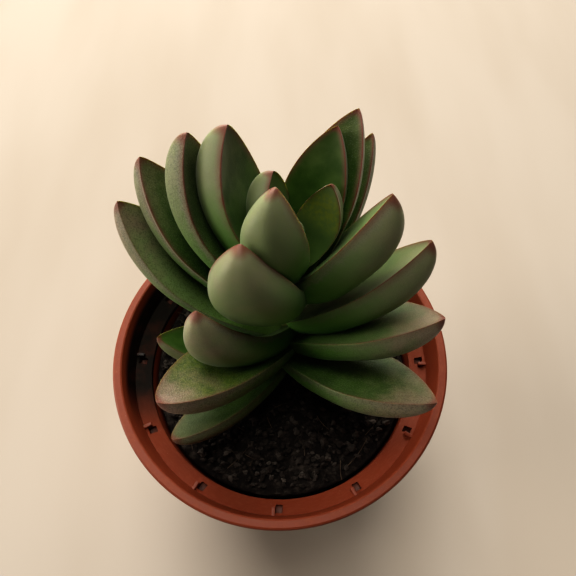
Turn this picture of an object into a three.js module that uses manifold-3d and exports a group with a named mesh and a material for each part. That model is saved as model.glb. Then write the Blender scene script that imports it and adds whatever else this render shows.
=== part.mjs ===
// Potted succulent: thick keeled leaves in four ranks on a short leaning stem,
// standing in dark peat in a small thin-walled plastic pot.
// Millimetres, +Z up. Origin: centre of the pot's flat underside.
// -Y is the side seen in the photograph; the plant leans back towards +Y.

import * as THREE from 'three';
import { mergeVertices } from 'three/addons/utils/BufferGeometryUtils.js';
import Module from 'manifold-3d';

const wasm = await Module();
wasm.setup();

// Clearance kept between neighbouring solids
const GAP = 0.3;

// Pot
const POT_HEIGHT = 76;
const RIM_RADIUS = 42.5;
const RIM_WIDTH = 2.4;
const RIM_LIP = 1.8;
const RIM_ROUND = 0.5;
const COLLAR_DEPTH = 8;
const COLLAR_INNER_RADIUS = 38.8;
const LEDGE_DEPTH = 10.2;
const LEDGE_INNER_RADIUS = 35;
const WALL = 1.3;
const FLOOR = 1.8;
const BASE_RADIUS = 28.5;
const POT_SEGMENTS = 60;
const LUG_COUNT = 12;
const LUG_TURN = -3;
const LUG_LENGTH = 2.4;
const LUG_WIDTH = 0.9;
const LUG_HEIGHT = 1.5;
const LUG_SUNK = 0.5;
const DRAIN_COUNT = 6;
const DRAIN_RADIUS = 3.2;
const DRAIN_CIRCLE = 19;

// Soil
const SOIL_DEPTH_BELOW_RIM = 12.5;
const SOIL_LUMP = 0.8;
const SOIL_RINGS = 9;
const SOIL_SEGMENTS = 44;
const SOIL_SEED = 7;
const SOIL_CLEARANCE = 0.5;

// Stem, measured along its own leaning axis from the soil surface
const STEM_FOOT = new THREE.Vector3(1.5, 2.2, POT_HEIGHT - SOIL_DEPTH_BELOW_RIM);
const LEAN_BACK = 14;
const LEAN_RIGHT = 3;
const STEM_BURIED = 11;
const STEM_TOP = 42;
const STEM_FOOT_RADIUS = 3.2;
const STEM_TOP_RADIUS = 1.9;
const BUD_LENGTH = 8;
const BUD_RADIUS = 2.1;

// Leaf form, as shares of a leaf's own length, width and thickness
const LEAF_AROUND = 16;
const LEAF_ALONG = 13;
const ROOT_START = 1.5;
const WIDEST_AT = 0.52;
const ROOT_WIDTH = 0.62;
const ROOT_DEPTH = 0.6;
const DEEP_FROM = 0.32;
const DEEP_TO = 0.5;
const CHANNEL = 0.06;
const HULL_POWER = 0.8;
const WIDTH_TAPER = [1.8, 0.85];
const DEPTH_TAPER = [3, 0.65];

// Leaves: height of the joint on the stem, compass angle (0 = right, 90 = back),
// rise above the stem's square plane at root and tip, length, width, thickness, roll.
const LEAVES = [
  { name: 'leaf_front_1', height: 5.5, turn: 228, rise: [-4, 15], size: [40, 14, 5.2], roll: 25 },
  { name: 'leaf_front_2', height: 12.5, turn: 224, rise: [22, 6], size: [41, 17.5, 8.5], roll: 10 },
  { name: 'leaf_front_3', height: 16.5, turn: 220, rise: [-1, 84], size: [38, 15.5, 6.5], roll: 42 },
  { name: 'leaf_front_4', height: 29, turn: 231, rise: [19, 94], size: [33, 18.5, 7.5], roll: 32 },
  { name: 'leaf_front_5', height: 37.5, turn: 238, rise: [57, 88], size: [27, 13.5, 9], roll: 0 },
  { name: 'leaf_right_1', height: 7, turn: 320, rise: [21, 18], size: [44, 20, 8], roll: -13 },
  { name: 'leaf_right_2', height: 13.5, turn: 336, rise: [36, 28], size: [42, 18.5, 8.5], roll: -10 },
  { name: 'leaf_right_3', height: 20, turn: 346, rise: [41, 54], size: [42, 16.5, 9], roll: -11 },
  { name: 'leaf_right_4', height: 30.5, turn: 342, rise: [56, 62], size: [36, 16, 9.5], roll: -10 },
  { name: 'leaf_left_1', height: 8, turn: 199, rise: [13, 35], size: [36, 13, 6], roll: -5 },
  { name: 'leaf_left_2', height: 17, turn: 170, rise: [20, 57], size: [51, 18, 8.5], roll: -12 },
  { name: 'leaf_left_3', height: 24, turn: 164, rise: [25, 65], size: [49, 17, 8], roll: -13 },
  { name: 'leaf_left_4', height: 29.5, turn: 165, rise: [31, 86], size: [44.5, 18.5, 8], roll: -4 },
  { name: 'leaf_left_5', height: 35, turn: 158, rise: [45, 87], size: [37, 18, 9], roll: 2 },
  { name: 'leaf_left_6', height: 39, turn: 158, rise: [67, 86], size: [22, 12.5, 6.5], roll: 0 },
  { name: 'leaf_back_1', height: 25, turn: 46, rise: [48, 63], size: [43, 10.5, 7], roll: 8 },
  { name: 'leaf_back_2', height: 30.5, turn: 48, rise: [74, 53], size: [42, 15.5, 6.5], roll: 10 },
  { name: 'leaf_back_3', height: 34, turn: 53, rise: [76, 58], size: [34.5, 14, 6.5], roll: 11 },
  { name: 'leaf_back_4', height: 37, turn: 14, rise: [57, 85], size: [22, 10, 4.5], roll: 45 },
];

// Surface finishes
const POT_FINISH = { color: 0xb0583c, roughness: 0.5, metalness: 0 };
const SOIL_FINISH = { color: 0x1d1512, roughness: 0.95, metalness: 0 };
const STEM_FINISH = { color: 0x5d6b3a, roughness: 0.7, metalness: 0 };
const LEAF_FINISH = { color: 0x55713f, roughness: 0.6, metalness: 0 };
const BUD_FINISH = { color: 0x8fa35e, roughness: 0.6, metalness: 0 };

const { degToRad, lerp, clamp } = THREE.MathUtils;

/** Same pseudo-random value in 0..1 for the same three whole numbers. */
function hash(a, b, c) {
  const value = Math.sin(a * 127.1 + b * 311.7 + c * 74.7) * 43758.5453;
  return value - Math.floor(value);
}

/** Closed geometry to a solid that can be joined and cut. */
function toSolid(geometry) {
  const bare = geometry.clone();
  bare.deleteAttribute('normal');
  bare.deleteAttribute('uv');
  const merged = mergeVertices(bare, 1e-4);
  const triangles = [];
  for (let i = 0; i < merged.index.count; i += 3) {
    const [a, b, c] = [0, 1, 2].map((k) => merged.index.getX(i + k));
    if (a !== b && b !== c && c !== a) triangles.push(a, b, c);
  }
  return new wasm.Manifold(new wasm.Mesh({
    numProp: 3,
    vertProperties: new Float32Array(merged.attributes.position.array),
    triVerts: new Uint32Array(triangles),
  }));
}

/** Solid back to a geometry. */
function toGeometry(solid) {
  const mesh = solid.getMesh();
  const geometry = new THREE.BufferGeometry();
  geometry.setAttribute('position', new THREE.BufferAttribute(new Float32Array(mesh.vertProperties), 3));
  geometry.setIndex(new THREE.BufferAttribute(new Uint32Array(mesh.triVerts), 1));
  geometry.computeVertexNormals();
  return geometry;
}

/** The largest connected piece of a solid. */
function largestPiece(solid) {
  const pieces = solid.decompose();
  return pieces.reduce((best, piece) => (piece.volume() > best.volume() ? piece : best));
}

/** Solid of revolution about +Z from [radius, height] pairs that start and end on the axis. */
function revolve(profile, segments) {
  const points = profile.map(([radius, height]) => new THREE.Vector2(radius, height));
  return new THREE.LatheGeometry(points, segments).rotateX(Math.PI / 2);
}

/** A named mesh with a finish of its own. */
function makeMesh(name, geometry, finish) {
  const mesh = new THREE.Mesh(geometry, new THREE.MeshStandardMaterial(finish));
  mesh.name = name;
  return mesh;
}

// Pot with its rolled rim, collar, sloping ledge, stacking lugs and drain holes

/** Inner radius of the pot's body wall at a height above the underside. */
function bodyInnerRadius(z) {
  const top = POT_HEIGHT - LEDGE_DEPTH;
  return lerp(BASE_RADIUS - WALL, LEDGE_INNER_RADIUS, (z - FLOOR) / (top - FLOOR));
}

function potShell() {
  const collarBottom = POT_HEIGHT - COLLAR_DEPTH;
  const ledgeBottom = POT_HEIGHT - LEDGE_DEPTH;
  const rimInner = RIM_RADIUS - RIM_WIDTH;
  return toSolid(revolve([
    [0, 0],
    [BASE_RADIUS - RIM_ROUND, 0],
    [BASE_RADIUS, RIM_ROUND],
    [LEDGE_INNER_RADIUS + WALL, ledgeBottom - WALL],
    [COLLAR_INNER_RADIUS + WALL, collarBottom - WALL],
    [rimInner + WALL, POT_HEIGHT - RIM_LIP - RIM_ROUND],
    [RIM_RADIUS, POT_HEIGHT - RIM_LIP],
    [RIM_RADIUS, POT_HEIGHT - RIM_ROUND],
    [RIM_RADIUS - RIM_ROUND, POT_HEIGHT],
    [rimInner + RIM_ROUND, POT_HEIGHT],
    [rimInner, POT_HEIGHT - RIM_ROUND],
    [COLLAR_INNER_RADIUS, collarBottom],
    [LEDGE_INNER_RADIUS, ledgeBottom],
    [BASE_RADIUS - WALL, FLOOR],
    [0, FLOOR],
  ], POT_SEGMENTS));
}

function lug(index) {
  const rib = new THREE.BoxGeometry(LUG_LENGTH, LUG_WIDTH, LUG_HEIGHT);
  const reach = COLLAR_INNER_RADIUS + LUG_SUNK - LUG_LENGTH / 2;
  rib.translate(reach, 0, POT_HEIGHT - COLLAR_DEPTH + LUG_HEIGHT / 2 - 2 * LUG_SUNK);
  rib.rotateZ(degToRad(LUG_TURN + (index * 360) / LUG_COUNT));
  return toSolid(rib);
}

function drainHole(index) {
  const hole = new THREE.CylinderGeometry(DRAIN_RADIUS, DRAIN_RADIUS, 4 * FLOOR, 14);
  hole.rotateX(Math.PI / 2);
  hole.translate(DRAIN_CIRCLE, 0, 0);
  hole.rotateZ(((index + 0.5) * 2 * Math.PI) / DRAIN_COUNT);
  return toSolid(hole);
}

function buildPot() {
  let pot = potShell();
  for (let i = 0; i < LUG_COUNT; i += 1) pot = pot.add(lug(i));
  for (let i = 0; i < DRAIN_COUNT; i += 1) pot = pot.subtract(drainHole(i));
  return makeMesh('pot', toGeometry(pot), POT_FINISH);
}

// Stem and bud, in the plant's own leaning frame with the soil surface at z = 0

function stemSolid(grow = 0) {
  return toSolid(revolve([
    [0, -STEM_BURIED - grow],
    [STEM_FOOT_RADIUS * 0.7 + grow, -STEM_BURIED - grow],
    [STEM_FOOT_RADIUS + grow, -STEM_BURIED / 2],
    [STEM_FOOT_RADIUS + grow, 0],
    [lerp(STEM_FOOT_RADIUS, STEM_TOP_RADIUS, 0.4) + grow, STEM_TOP * 0.5],
    [STEM_TOP_RADIUS + grow, STEM_TOP + grow],
    [0, STEM_TOP + grow],
  ], 20));
}

function budSolid(grow = 0) {
  const foot = STEM_TOP + GAP - grow;
  return toSolid(revolve([
    [0, foot],
    [BUD_RADIUS * 0.7 + grow, foot],
    [BUD_RADIUS + grow, foot + BUD_LENGTH * 0.35],
    [BUD_RADIUS * 0.62 + grow, foot + BUD_LENGTH * 0.75],
    [0, foot + BUD_LENGTH + 2 * grow],
  ], 16).scale(1, 0.75, 1));
}

// Leaves: a boat-shaped hull on a bent midrib, flat to slightly hollow above

/** Falls from 1 at x = 0 to 0 at x = 1: rounded first, then running out in a point. */
function taper(x, [power, sharpness]) {
  return Math.max(0, 1 - x ** power) ** sharpness;
}

/** Half width at a share of the length, as a share of the largest. */
function widthShare(u) {
  if (u < WIDEST_AT) return lerp(ROOT_WIDTH, 1, Math.sin((Math.PI / 2) * (u / WIDEST_AT)));
  return taper((u - WIDEST_AT) / (1 - WIDEST_AT), WIDTH_TAPER);
}

/** Hull depth at a share of the length, as a share of the largest. */
function depthShare(u) {
  if (u < DEEP_TO) return lerp(ROOT_DEPTH, 1, Math.sin((Math.PI / 2) * clamp(u / DEEP_FROM, 0, 1)));
  return taper((u - DEEP_TO) / (1 - DEEP_TO), DEPTH_TAPER);
}

/** Point of the midrib and the leaf's three directions there. */
function leafFrame(leaf, u) {
  const [length] = leaf.size;
  const [rootRise, tipRise] = leaf.rise.map(degToRad);
  const turn = degToRad(leaf.turn);
  const rise = lerp(rootRise, tipRise, u);
  const bend = tipRise - rootRise;
  const reach = (length * (Math.sin(rise) - Math.sin(rootRise))) / bend;
  const climb = (length * (Math.cos(rootRise) - Math.cos(rise))) / bend;
  const outward = new THREE.Vector3(Math.cos(turn), Math.sin(turn), 0);
  const up = new THREE.Vector3(0, 0, 1);
  const along = outward.clone().multiplyScalar(Math.cos(rise)).addScaledVector(up, Math.sin(rise));
  const side = new THREE.Vector3(-Math.sin(turn), Math.cos(turn), 0);
  side.applyAxisAngle(along, degToRad(leaf.roll));
  const face = new THREE.Vector3().crossVectors(along, side);
  const centre = outward.multiplyScalar(reach).addScaledVector(up, leaf.height + climb);
  return { centre, along, side, face };
}

/** A leaf's solid; grow makes it larger all round, for cutting its neighbours. */
function leafSolid(leaf, grow = 0) {
  const [length, width, thickness] = leaf.size;
  const geometry = new THREE.SphereGeometry(1, LEAF_AROUND, LEAF_ALONG + 1);
  const position = geometry.attributes.position;
  const rootShare = ROOT_START / length;
  for (let row = 0; row <= LEAF_ALONG + 1; row += 1) {
    const t = clamp((row - 1) / LEAF_ALONG, 0, 1);
    const u = lerp(rootShare, 1, lerp(t, Math.sin((t * Math.PI) / 2), 0.6));
    const { centre, along, side, face } = leafFrame(leaf, u);
    const isPole = row === 0 || row === LEAF_ALONG + 1;
    const half = isPole ? 0 : (width / 2) * widthShare(u) + grow;
    const depth = isPole ? 0 : thickness * depthShare(u) + 2 * grow;
    const hollow = CHANNEL * width * widthShare(u);
    const lift = isPole ? 0 : grow;
    centre.addScaledVector(along, row > LEAF_ALONG ? grow : 0);
    for (let column = 0; column <= LEAF_AROUND; column += 1) {
      const angle = ((column % LEAF_AROUND) * 2 * Math.PI) / LEAF_AROUND;
      const cos = Math.cos(angle);
      const sin = Math.sin(angle);
      const above = sin >= -1e-9;
      const across = above ? cos : Math.sign(cos) * Math.abs(cos) ** HULL_POWER;
      const level = above ? -hollow * (1 - cos * cos) : -depth * Math.abs(sin) ** HULL_POWER;
      const point = centre.clone()
        .addScaledVector(side, -half * across)
        .addScaledVector(face, isPole ? 0 : lift + level);
      position.setXYZ(row * (LEAF_AROUND + 1) + column, point.x, point.y, point.z);
    }
  }
  return toSolid(geometry);
}

/** Leaves cut clear of the stem, the bud and every leaf that sits higher on the stem. */
function buildLeaves() {
  const fromTheTop = [...LEAVES].sort((a, b) => b.height - a.height);
  let taken = stemSolid(GAP).add(budSolid(GAP));
  const meshes = new Map();
  for (const leaf of fromTheTop) {
    const solid = largestPiece(leafSolid(leaf).subtract(taken));
    meshes.set(leaf.name, makeMesh(leaf.name, toGeometry(solid), LEAF_FINISH));
    taken = taken.add(leafSolid(leaf, GAP));
  }
  return LEAVES.map((leaf) => meshes.get(leaf.name));
}

// Soil: fills the pot, lumpy on top, with a plain hole for the stem

/** Height of the soil's lumps over its mean surface. */
function soilLump(x, y) {
  const coarse = hash(Math.round(x / 5), Math.round(y / 5), SOIL_SEED);
  const fine = hash(Math.round(x * 3), Math.round(y * 3), SOIL_SEED + 1);
  return SOIL_LUMP * (0.5 * coarse + 0.5 * fine - 0.5) * 2;
}

function buildSoil(plantMatrix) {
  const surface = POT_HEIGHT - SOIL_DEPTH_BELOW_RIM;
  const foot = FLOOR + GAP;
  const edge = bodyInnerRadius(surface) - SOIL_CLEARANCE;
  const profile = [[0, foot], [bodyInnerRadius(foot) - SOIL_CLEARANCE, foot], [edge, surface - SOIL_LUMP]];
  for (let ring = 0; ring <= SOIL_RINGS; ring += 1) {
    profile.push([edge * 0.97 * (1 - ring / SOIL_RINGS), surface]);
  }
  const geometry = revolve(profile, SOIL_SEGMENTS);
  const position = geometry.attributes.position;
  for (let i = 0; i < position.count; i += 1) {
    if (position.getZ(i) < surface - 0.01) continue;
    const x = position.getX(i);
    const y = position.getY(i);
    position.setZ(i, surface + soilLump(x, y));
  }
  const hole = stemSolid(GAP).transform(plantMatrix.toArray());
  return makeMesh('soil', toGeometry(largestPiece(toSolid(geometry).subtract(hole))), SOIL_FINISH);
}

// Assembly

const plant = new THREE.Group();
plant.position.copy(STEM_FOOT);
plant.rotation.set(degToRad(-LEAN_BACK), degToRad(LEAN_RIGHT), 0);
plant.updateMatrix();
plant.add(makeMesh('stem', toGeometry(stemSolid()), STEM_FINISH));
plant.add(makeMesh('bud', toGeometry(budSolid()), BUD_FINISH));
plant.add(...buildLeaves());

const group = new THREE.Group();
group.add(buildPot(), buildSoil(plant.matrix), plant);

export default group;
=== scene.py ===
"""Looks of a potted succulent: thick keeled leaves on a short leaning stem, in peat, in a small plastic pot.

Every size below is in millimetres and is multiplied by MM where a mesh is made. The frame is the
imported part's: origin at the centre of the pot's underside, +Z up, -Y towards the camera.
"""

import logging
import math
import random
from collections.abc import Iterator
from contextlib import contextmanager
from dataclasses import dataclass, field
from enum import Enum
from itertools import pairwise

import bpy
from mathutils import Matrix, Vector


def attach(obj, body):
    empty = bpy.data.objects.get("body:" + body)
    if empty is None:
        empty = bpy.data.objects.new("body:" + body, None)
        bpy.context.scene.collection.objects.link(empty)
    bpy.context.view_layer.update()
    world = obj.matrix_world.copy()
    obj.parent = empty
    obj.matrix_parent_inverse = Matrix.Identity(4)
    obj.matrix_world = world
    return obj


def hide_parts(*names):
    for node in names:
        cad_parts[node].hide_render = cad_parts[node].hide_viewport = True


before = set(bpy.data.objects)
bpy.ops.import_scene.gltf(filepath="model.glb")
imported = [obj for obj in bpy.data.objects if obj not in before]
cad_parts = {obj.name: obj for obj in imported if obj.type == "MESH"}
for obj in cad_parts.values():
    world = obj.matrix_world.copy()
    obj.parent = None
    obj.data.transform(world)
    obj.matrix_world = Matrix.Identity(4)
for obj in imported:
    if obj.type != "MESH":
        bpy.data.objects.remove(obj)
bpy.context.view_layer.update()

LOG = logging.getLogger("potted_succulent")
MM = 0.001
BODY = "root"
SEED = 11
TINY = 1e-6
NEARLY_ZERO = 1e-4
TINT = "tint"
PEAT_LEVEL = 63.5
STEM_PLACE = (1.5, 2.2)

Colour = tuple[float, float, float]
Span = tuple[float, float]


class Slot(Enum):
    """Material slots, one for each kind of piece."""

    POT = "pot"
    SOIL = "soil"
    STEM = "stem"
    LEAF = "leaf"
    BUD = "bud"


class Axis(Enum):
    """Axes that a bend or a turn is made about."""

    X = "X"
    Y = "Y"
    Z = "Z"


# Helpers for modelling by operators


def deselect_all() -> None:
    """Deselects every object."""
    bpy.ops.object.select_all(action="DESELECT")


def choose(piece: bpy.types.Object) -> None:
    """Makes a piece the only selected object and the active one.

    Args:
        piece: The object to work on.
    """
    deselect_all()
    piece.select_set(True)
    bpy.context.view_layer.objects.active = piece


@contextmanager
def edit_mode(piece: bpy.types.Object) -> Iterator[None]:
    """Opens a piece in edit mode and closes it again.

    Args:
        piece: The object to edit.

    Yields:
        Nothing; the piece is in edit mode meanwhile.
    """
    choose(piece)
    bpy.ops.object.mode_set(mode="EDIT")
    yield
    bpy.ops.object.mode_set(mode="OBJECT")


def take_new(name: str) -> bpy.types.Object:
    """Names the object that an operator has just made.

    Args:
        name: The object's name.

    Returns:
        The object.
    """
    piece = bpy.context.view_layer.objects.active
    piece.name = piece.data.name = name
    return piece


def link_to_scene(thing: bpy.types.Object) -> None:
    """Puts a new object in the scene."""
    bpy.context.scene.collection.objects.link(thing)


def turned(degrees: float, axis: Axis) -> Matrix:
    """Gives a turn about an axis.

    Args:
        degrees: How far it turns.
        axis: What it turns about.

    Returns:
        The turn's matrix.
    """
    return Matrix.Rotation(math.radians(degrees), 4, axis.value)


def apply_place(piece: bpy.types.Object) -> None:
    """Moves a piece's place, turn and scale into its mesh.

    Args:
        piece: The object whose place is applied.
    """
    choose(piece)
    bpy.ops.object.transform_apply(location=True, rotation=True, scale=True)


def apply_modifier(piece: bpy.types.Object, kind: str, **settings: object) -> None:
    """Adds a modifier, sets it and applies it.

    Args:
        piece: The object that is changed.
        kind: Blender's name for the kind of modifier.
        **settings: The modifier's own values.
    """
    choose(piece)
    modifier = piece.modifiers.new(kind.title(), kind)
    for name, value in settings.items():
        setattr(modifier, name, value)
    bpy.ops.object.modifier_apply(modifier=modifier.name)


def take_copy(piece: bpy.types.Object, name: str) -> bpy.types.Object:
    """Copies a piece with a mesh of its own.

    Args:
        piece: The object to copy.
        name: The copy's name.

    Returns:
        The copy, linked to the scene.
    """
    copy = piece.copy()
    copy.data = piece.data.copy()
    copy.name = copy.data.name = name
    link_to_scene(copy)
    return copy


def join_pieces(pieces: list[bpy.types.Object], name: str) -> bpy.types.Object:
    """Joins several objects into one.

    Args:
        pieces: The objects to join.
        name: The joined piece's name.

    Returns:
        The joined piece, with its place in its mesh.
    """
    deselect_all()
    for piece in pieces:
        piece.select_set(True)
    bpy.context.view_layer.objects.active = pieces[0]
    bpy.ops.object.join()
    joined = take_new(name)
    apply_place(joined)
    return joined


def remove_piece(piece: bpy.types.Object) -> None:
    """Removes a helper object from the scene."""
    bpy.data.objects.remove(piece)


def smooth(piece: bpy.types.Object, angle: float = 60.0) -> None:
    """Shades a piece smooth, with edges sharper than an angle kept crisp.

    Args:
        piece: The object to shade.
        angle: The largest angle between smooth faces, in degrees.
    """
    choose(piece)
    bpy.ops.object.shade_smooth_by_angle(angle=math.radians(angle))


def spin_profile(name: str, profile: list[tuple[float, float]], steps: int) -> bpy.types.Object:
    """Turns an outline round the Z axis into a closed piece.

    Args:
        name: The piece's name.
        profile: [radius, height] pairs in millimetres, from the axis back to the axis.
        steps: How many steps the turn has.

    Returns:
        The closed piece, with its faces pointing out.
    """
    deselect_all()
    radius, height = profile[0]
    bpy.ops.mesh.primitive_plane_add(size=MM, location=(radius * MM, 0, height * MM))
    piece = take_new(name)
    apply_place(piece)
    with edit_mode(piece):
        bpy.ops.mesh.select_all(action="SELECT")
        bpy.ops.mesh.merge(type="CENTER")
        for (r0, z0), (r1, z1) in pairwise(profile):
            step = ((r1 - r0) * MM, 0, (z1 - z0) * MM)
            bpy.ops.mesh.extrude_region_move(TRANSFORM_OT_translate={"value": step})
        bpy.ops.mesh.select_all(action="SELECT")
        bpy.ops.mesh.spin(steps=steps, angle=math.tau, center=(0, 0, 0), axis=(0, 0, 1))
        bpy.ops.mesh.select_all(action="SELECT")
        bpy.ops.mesh.remove_doubles(threshold=0.002 * MM)
        bpy.ops.mesh.normals_make_consistent(inside=False)
    return piece


def cut_away(piece: bpy.types.Object, cutter: bpy.types.Object) -> None:
    """Cuts one object out of another and removes the cutter.

    Args:
        piece: The object that is cut.
        cutter: The object whose volume is taken away.
    """
    apply_modifier(piece, "BOOLEAN", operation="DIFFERENCE", object=cutter, solver="EXACT")
    remove_piece(cutter)


def fuse(piece: bpy.types.Object, addition: bpy.types.Object) -> None:
    """Joins one closed object to another by a union and removes the addition.

    Args:
        piece: The object that is added to.
        addition: The object whose volume is added.
    """
    apply_modifier(piece, "BOOLEAN", operation="UNION", object=addition, solver="EXACT")
    remove_piece(addition)


def noise_texture(name: str, size: float, depth: int = 3) -> bpy.types.Texture:
    """Makes a cloud texture for displacing a mesh.

    Args:
        name: The texture's name.
        size: The size of its lumps, in millimetres.
        depth: How many finer layers it has.

    Returns:
        The texture.
    """
    texture = bpy.data.textures.new(name, "CLOUDS")
    texture.noise_scale = size * MM
    texture.noise_depth = depth
    return texture


def store_number(piece: bpy.types.Object, name: str, value: float) -> None:
    """Stores one number on every point of a piece, for its material to read.

    Args:
        piece: The piece that is marked.
        name: The number's name.
        value: The number.
    """
    attribute = piece.data.attributes.new(name, "FLOAT", "POINT")
    attribute.data.foreach_set("value", [value] * len(piece.data.vertices))


def settle(piece: bpy.types.Object, slot: Slot, finish: bpy.types.Material, *nodes: str) -> None:
    """Dresses a finished piece, makes it part of the object and reports it.

    Args:
        piece: The finished piece.
        slot: Not used.
        finish: Its material.
        *nodes: CAD nodes that it stands for.
    """
    piece.data.materials.append(finish)
    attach(piece, BODY)
    if nodes:
        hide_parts(*nodes)
    LOG.info("%s: %d faces, replaces %s", piece.name, len(piece.data.polygons), list(nodes) or "nothing")


# Finishes


@dataclass(frozen=True)
class Mottle:
    """Cloudy variation: noise of a size in millimetres, and the range of it that becomes a share."""

    size: float
    detail: float
    low: float
    high: float
    start: float = 0.0
    end: float = 1.0


class Shader:
    """A material's nodes, with short ways to add the ones used here."""

    def __init__(self, name: str) -> None:
        """Starts a material.

        Args:
            name: The material's name.
        """
        self.material = bpy.data.materials.new(name)
        self.material.use_nodes = True
        self.tree = self.material.node_tree
        self.surface = self.tree.nodes["Principled BSDF"]
        self.place = self.tree.nodes.new("ShaderNodeTexCoord").outputs["Object"]

    def set(self, **values: object) -> None:
        """Sets the surface's own values.

        Args:
            **values: Socket names, with underscores for spaces, and their values.
        """
        for name, value in values.items():
            self.put(self.surface.inputs[name.replace("_", " ")], value)

    def put(self, socket: bpy.types.NodeSocket, value: object) -> None:
        """Links an output to a socket, or sets a plain value on it.

        Args:
            socket: The socket that is fed.
            value: An output socket, a number or a colour.
        """
        if isinstance(value, bpy.types.NodeSocket):
            self.tree.links.new(value, socket)
        elif isinstance(value, tuple) and socket.type == "RGBA":
            socket.default_value = (*value, 1.0)
        else:
            socket.default_value = value

    def attribute(self, name: str) -> bpy.types.NodeSocket:
        """Reads a number stored on the mesh.

        Args:
            name: The attribute's name.

        Returns:
            The number's output.
        """
        node = self.tree.nodes.new("ShaderNodeAttribute")
        node.attribute_name = name
        return node.outputs["Fac"]

    def maths(self, kind: str, a: object, b: object = 0.0, c: object = 0.0) -> bpy.types.NodeSocket:
        """Adds a piece of arithmetic.

        Args:
            kind: Blender's name for the operation.
            a: The first value.
            b: The second value.
            c: The third value.

        Returns:
            The result.
        """
        node = self.tree.nodes.new("ShaderNodeMath")
        node.operation = kind
        for socket, value in zip(node.inputs, (a, b, c)):
            self.put(socket, value)
        return node.outputs[0]

    def times(self, first: object, *others: object) -> object:
        """Multiplies values.

        Args:
            first: The first value.
            *others: What it is multiplied by, in turn.

        Returns:
            The product.
        """
        for other in others:
            first = self.maths("MULTIPLY", first, other)
        return first

    def ramp(self, value: object, low: float, high: float, start: float = 0.0,
             end: float = 1.0) -> bpy.types.NodeSocket:
        """Maps a range smoothly to another.

        Args:
            value: The value to map.
            low: Where the change starts.
            high: Where it ends.
            start: The result at low.
            end: The result at high.

        Returns:
            The mapped value.
        """
        node = self.tree.nodes.new("ShaderNodeMapRange")
        node.interpolation_type = "SMOOTHSTEP"
        for socket, entry in zip(node.inputs, (value, low, high, start, end)):
            self.put(socket, entry)
        return node.outputs[0]

    def noise(self, size: float, detail: float = 2.0, stretch: tuple[float, float, float] = (1, 1, 1),
              roughness: float = 0.5) -> bpy.types.NodeSocket:
        """Adds cloudy noise over the piece.

        Args:
            size: The size of its patches, in millimetres.
            detail: How many finer layers it has.
            stretch: How much finer it is along each axis.
            roughness: The strength of the finer layers.

        Returns:
            The noise, 0 to 1.
        """
        node = self.tree.nodes.new("ShaderNodeTexNoise")
        node.inputs["Scale"].default_value = 1 / (size * MM)
        node.inputs["Detail"].default_value = detail
        node.inputs["Roughness"].default_value = roughness
        self.put(node.inputs["Vector"], self.stretched(stretch))
        return node.outputs["Fac"]

    def mottle(self, look: Mottle) -> bpy.types.NodeSocket:
        """Adds cloudy variation.

        Args:
            look: Its size and strength.

        Returns:
            The share.
        """
        clouds = self.noise(look.size, look.detail)
        return self.ramp(clouds, look.low, look.high, look.start, look.end)

    def axes(self) -> tuple[bpy.types.NodeSocket, ...]:
        """Gives the place on the piece along each axis.

        Returns:
            X, Y and Z in millimetres.
        """
        node = self.tree.nodes.new("ShaderNodeSeparateXYZ")
        self.put(node.inputs[0], self.place)
        return tuple(self.maths("DIVIDE", output, MM) for output in node.outputs)

    def stretched(self, stretch: tuple[float, float, float]) -> bpy.types.NodeSocket:
        """Gives the place on the piece, with its axes scaled.

        Args:
            stretch: The scale along each axis.

        Returns:
            The scaled place.
        """
        if stretch == (1, 1, 1):
            return self.place
        node = self.tree.nodes.new("ShaderNodeMapping")
        node.inputs["Scale"].default_value = stretch
        self.put(node.inputs["Vector"], self.place)
        return node.outputs[0]

    def dots(self, size: float) -> bpy.types.NodeSocket:
        """Adds a field of cells and gives the distance to the nearest cell's middle.

        Args:
            size: The distance between the dots, in millimetres.

        Returns:
            The distance, about 0 to 1.
        """
        node = self.tree.nodes.new("ShaderNodeTexVoronoi")
        node.inputs["Scale"].default_value = 1 / (size * MM)
        self.put(node.inputs["Vector"], self.place)
        return node.outputs["Distance"]

    def blend(self, share: object, a: object, b: object) -> bpy.types.NodeSocket:
        """Mixes two colours.

        Args:
            share: How much of the second colour is used, 0 to 1.
            a: The first colour.
            b: The second colour.

        Returns:
            The mixed colour.
        """
        node = self.tree.nodes.new("ShaderNodeMix")
        node.data_type = "RGBA"
        self.put(node.inputs["Factor"], share)
        self.put(node.inputs[6], a)
        self.put(node.inputs[7], b)
        return node.outputs[2]

    def bump(self, height: object, depth: float, under: object = None) -> bpy.types.NodeSocket:
        """Adds relief.

        Args:
            height: The relief's height, 0 to 1.
            depth: What a height of 1 stands for, in millimetres.
            under: The normal of a coarser relief beneath it.

        Returns:
            The new normal.
        """
        node = self.tree.nodes.new("ShaderNodeBump")
        node.inputs["Distance"].default_value = depth * MM
        self.put(node.inputs["Height"], height)
        if under is not None:
            self.put(node.inputs["Normal"], under)
        return node.outputs[0]

    def finish(self, colour: object, normal: object = None, roughness: object = None) -> bpy.types.Material:
        """Feeds the surface and gives the material.

        Args:
            colour: The base colour.
            normal: The relief's normal.
            roughness: The roughness.

        Returns:
            The finished material.
        """
        self.put(self.surface.inputs["Base Color"], colour)
        if normal is not None:
            self.put(self.surface.inputs["Normal"], normal)
        if roughness is not None:
            self.put(self.surface.inputs["Roughness"], roughness)
        return self.material


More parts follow.
